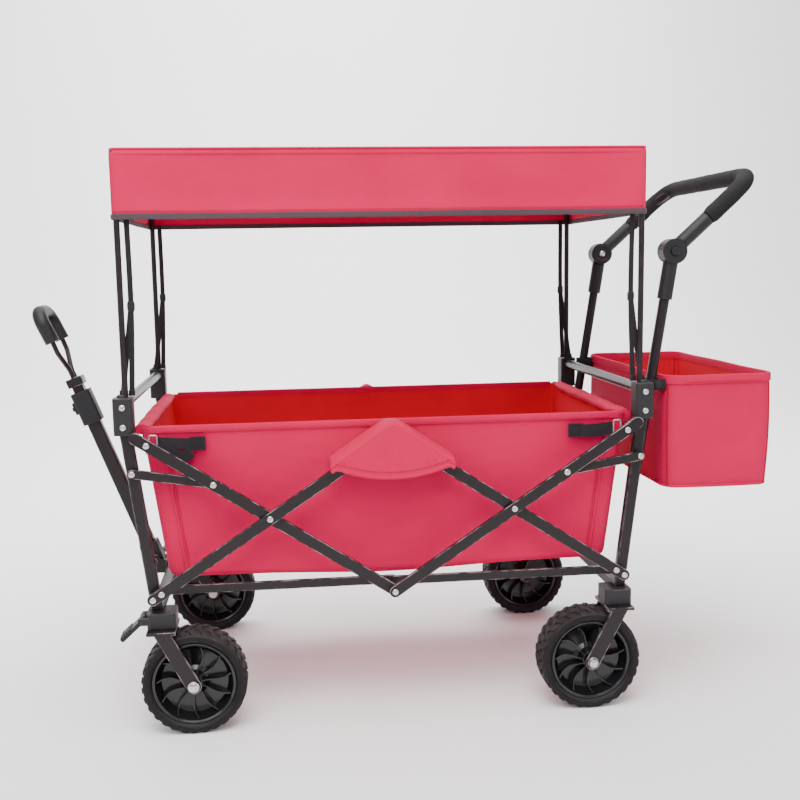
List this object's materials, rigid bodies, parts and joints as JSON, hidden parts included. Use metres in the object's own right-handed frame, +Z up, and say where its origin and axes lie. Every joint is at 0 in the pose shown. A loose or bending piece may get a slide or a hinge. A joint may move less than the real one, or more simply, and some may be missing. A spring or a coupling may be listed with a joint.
{
  "type": "folding utility wagon",
  "caption": "Folding four-wheeled wagon with a fabric tub, canopy on poles, telescopic pull handle, rear push bar and rear basket.",
  "frame": {"origin": "on the ground under the middle of the wagon's box", "axes": "+X to the rear (push bar), -X to the front (pull handle), +Y to the wagon's right, +Z up"},
  "size_m": [1.3202, 0.583, 0.978],
  "materials": {
    "frame_paint": "satin powder coat",
    "black_plastic": "fine grain",
    "hub_plastic": "gloss",
    "tyre_rubber": "matt with block tread",
    "zinc_steel": "zinc plated",
    "red_fabric": "woven polyester",
    "mat_board": "padded, woven polyester",
    "black_webbing": "webbing",
    "grip_foam": "closed cell foam"
  },
  "bodies": {
    "rear_frame": {"rear_posts": "frame_paint", "rear_cross_tubes": "frame_paint", "rear_corner_brackets": "black_plastic", "rear_foot_housings": "black_plastic", "rear_frame_rivets": "zinc_steel", "push_legs": "frame_paint", "lower_adjusters": "black_plastic", "rear_basket": "red_fabric", "tub_fabric": "red_fabric", "floor_mat": "mat_board", "side_flaps": "red_fabric", "tie_straps_and_rings": "black_webbing"},
    "rear_long_bars": {"rear_long_arms": "frame_paint", "rear_arm_pivots": "zinc_steel"},
    "front_long_bars": {"front_long_arms": "frame_paint", "front_arm_pivots": "zinc_steel"},
    "front_frame": {"front_posts": "frame_paint", "front_cross_tubes": "frame_paint", "front_corner_brackets": "black_plastic", "front_foot_housings": "black_plastic", "front_wheel_forks": "frame_paint", "front_axle_bolts": "zinc_steel", "front_frame_rivets": "zinc_steel", "handle_pivot_bracket": "frame_paint"},
    "rear_cross_bars": {"rear_cross_arms": "frame_paint", "rear_cross_rivets": "zinc_steel"},
    "front_cross_bars": {"front_cross_arms": "frame_paint", "front_cross_rivets": "zinc_steel"},
    "rear_link_bars": {"rear_links": "frame_paint"},
    "front_link_bars": {"front_links": "frame_paint"},
    "rear_rail_bars": {"rear_rails": "frame_paint"},
    "front_rail_bars": {"front_rails": "frame_paint"},
    "left_brake": {"left_brake_pedal": "black_plastic"},
    "right_brake": {"right_brake_pedal": "black_plastic"},
    "front_left_wheel": {"front_left_tyre": "tyre_rubber", "front_left_hub": "hub_plastic"},
    "front_right_wheel": {"front_right_tyre": "tyre_rubber", "front_right_hub": "hub_plastic"},
    "rear_left_caster": {"rear_left_caster_fork": "frame_paint"},
    "rear_right_caster": {"rear_right_caster_fork": "frame_paint"},
    "rear_left_wheel": {"rear_left_tyre": "tyre_rubber", "rear_left_hub": "hub_plastic"},
    "rear_right_wheel": {"rear_right_tyre": "tyre_rubber", "rear_right_hub": "hub_plastic"},
    "handle_lower": {"handle_outer_tube": "frame_paint", "handle_pivot_block": "black_plastic", "handle_clamp": "black_plastic"},
    "handle_upper": {"handle_inner_tube": "frame_paint", "handle_yoke": "frame_paint", "handle_grip": "black_plastic"},
    "handle_button": {"handle_clamp_button": "black_plastic"},
    "push_bow": {"push_bow_tube": "frame_paint", "push_bow_foam": "grip_foam", "upper_adjusters": "black_plastic"},
    "left_button": {"left_adjuster_button": "black_plastic"},
    "right_button": {"right_adjuster_button": "black_plastic"},
    "canopy_front": {"canopy_front_poles": "frame_paint"},
    "canopy_rear": {"canopy_rear_poles": "frame_paint", "canopy_cover": "red_fabric", "canopy_straps": "black_webbing"}
  },
  "joints": [
    {"name": "fold", "type": "hinge", "parent": "rear_frame", "child": "rear_long_bars", "pos_m": [0.37439, 0, 0.238], "axis": [0, 1, 0], "range_deg": [0, 37.5], "deforming": ["tub_fabric", "floor_mat", "side_flaps", "tie_straps_and_rings", "canopy_cover", "canopy_straps"]},
    {"name": "fold_top_centre", "type": "hinge", "parent": "rear_long_bars", "child": "front_long_bars", "pos_m": [-0.031, 0, 0.50388], "axis": [0, -1, 0], "range_deg": [0, 75]},
    {"name": "fold_front_foot", "type": "hinge", "parent": "front_long_bars", "child": "front_frame", "pos_m": [-0.43639, 0, 0.238], "axis": [0, 1, 0], "range_deg": [0, 37.5]},
    {"name": "fold_rear_crossing", "type": "hinge", "parent": "rear_long_bars", "child": "rear_cross_bars", "pos_m": [0.17671, 0, 0.36765], "axis": [0, -1, 0], "range_deg": [0, 75]},
    {"name": "fold_front_crossing", "type": "hinge", "parent": "front_long_bars", "child": "front_cross_bars", "pos_m": [-0.23871, 0, 0.36765], "axis": [0, 1, 0], "range_deg": [0, 75]},
    {"name": "fold_rear_link", "type": "hinge", "parent": "rear_frame", "child": "rear_link_bars", "pos_m": [0.40072, 0, 0.4494], "axis": [0, 1, 0], "range_deg": [0, 68.73]},
    {"name": "fold_front_link", "type": "hinge", "parent": "front_frame", "child": "front_link_bars", "pos_m": [-0.46272, 0, 0.4494], "axis": [0, -1, 0], "range_deg": [0, 68.73]},
    {"name": "fold_rear_rail", "type": "hinge", "parent": "rear_frame", "child": "rear_rail_bars", "pos_m": [0.37439, 0, 0.238], "axis": [0, 1, 0], "range_deg": [0, 66.8]},
    {"name": "fold_front_rail", "type": "hinge", "parent": "front_frame", "child": "front_rail_bars", "pos_m": [-0.43639, 0, 0.238], "axis": [0, -1, 0], "range_deg": [0, 66.8]},
    {"name": "left_brake_press", "type": "hinge", "parent": "front_frame", "child": "left_brake", "pos_m": [-0.45699, -0.25, 0.1995], "axis": [0, -1, 0], "range_deg": [0, 22]},
    {"name": "front_left_wheel_spin", "type": "hinge", "parent": "front_frame", "child": "front_left_wheel", "pos_m": [-0.375, -0.25, 0.089], "axis": [0, 1, 0], "continuous": true},
    {"name": "rear_left_caster_swivel", "type": "hinge", "parent": "rear_frame", "child": "rear_left_caster", "pos_m": [0.363, -0.25, 0.18], "axis": [0, 0, 1], "continuous": true},
    {"name": "rear_left_wheel_spin", "type": "hinge", "parent": "rear_left_caster", "child": "rear_left_wheel", "pos_m": [0.313, -0.25, 0.089], "axis": [0, 1, 0], "continuous": true},
    {"name": "right_brake_press", "type": "hinge", "parent": "front_frame", "child": "right_brake", "pos_m": [-0.45699, 0.25, 0.1995], "axis": [0, -1, 0], "range_deg": [0, 22]},
    {"name": "front_right_wheel_spin", "type": "hinge", "parent": "front_frame", "child": "front_right_wheel", "pos_m": [-0.375, 0.25, 0.089], "axis": [0, 1, 0], "continuous": true},
    {"name": "rear_right_caster_swivel", "type": "hinge", "parent": "rear_frame", "child": "rear_right_caster", "pos_m": [0.363, 0.25, 0.18], "axis": [0, 0, 1], "continuous": true},
    {"name": "rear_right_wheel_spin", "type": "hinge", "parent": "rear_right_caster", "child": "rear_right_wheel", "pos_m": [0.313, 0.25, 0.089], "axis": [0, 1, 0], "continuous": true},
    {"name": "handle_swing", "type": "hinge", "parent": "front_frame", "child": "handle_lower", "pos_m": [-0.46399, 0, 0.232], "axis": [0, -1, 0], "range_deg": [-14, 62]},
    {"name": "handle_telescope", "type": "slide", "parent": "handle_lower", "child": "handle_upper", "axis": [-0.3518, 0, 0.9361], "range_m": [0, 0.26]},
    {"name": "handle_button_press", "type": "slide", "parent": "handle_lower", "child": "handle_button", "axis": [0.9361, 0, 0.3518], "range_m": [0, 0.003], "stiffness_N_per_m": 900},
    {"name": "push_bow_tilt", "type": "hinge", "parent": "rear_frame", "child": "push_bow", "pos_m": [0.47399, 0, 0.8], "axis": [0, -1, 0], "range_deg": [-50, 46]},
    {"name": "left_adjuster_press", "type": "slide", "parent": "rear_frame", "child": "left_button", "axis": [0, 1, 0], "range_m": [0, 0.004], "stiffness_N_per_m": 900},
    {"name": "right_adjuster_press", "type": "slide", "parent": "rear_frame", "child": "right_button", "axis": [0, -1, 0], "range_m": [0, 0.004], "stiffness_N_per_m": 900},
    {"name": "canopy_lift", "type": "slide", "parent": "rear_frame", "child": "canopy_rear", "axis": [0, 0, 1], "range_m": [0, 0.08]},
    {"name": "canopy_lift_front", "type": "slide", "parent": "front_frame", "child": "canopy_front", "axis": [0, 0, 1], "range_m": [0, 0.08]}
  ],
  "couplings": [
    {"joint": "fold_top_centre", "follows": "fold", "ratio": 2},
    {"joint": "fold_front_foot", "follows": "fold", "ratio": 1},
    {"joint": "fold_rear_crossing", "follows": "fold", "ratio": 2},
    {"joint": "fold_front_crossing", "follows": "fold", "ratio": 2},
    {"joint": "fold_rear_link", "follows": "fold", "ratio": 1.8326},
    {"joint": "fold_front_link", "follows": "fold", "ratio": 1.8326},
    {"joint": "fold_rear_rail", "follows": "fold", "ratio": 1.7811},
    {"joint": "fold_front_rail", "follows": "fold", "ratio": 1.7811},
    {"joint": "canopy_lift_front", "follows": "canopy_lift", "ratio": 1}
  ]
}
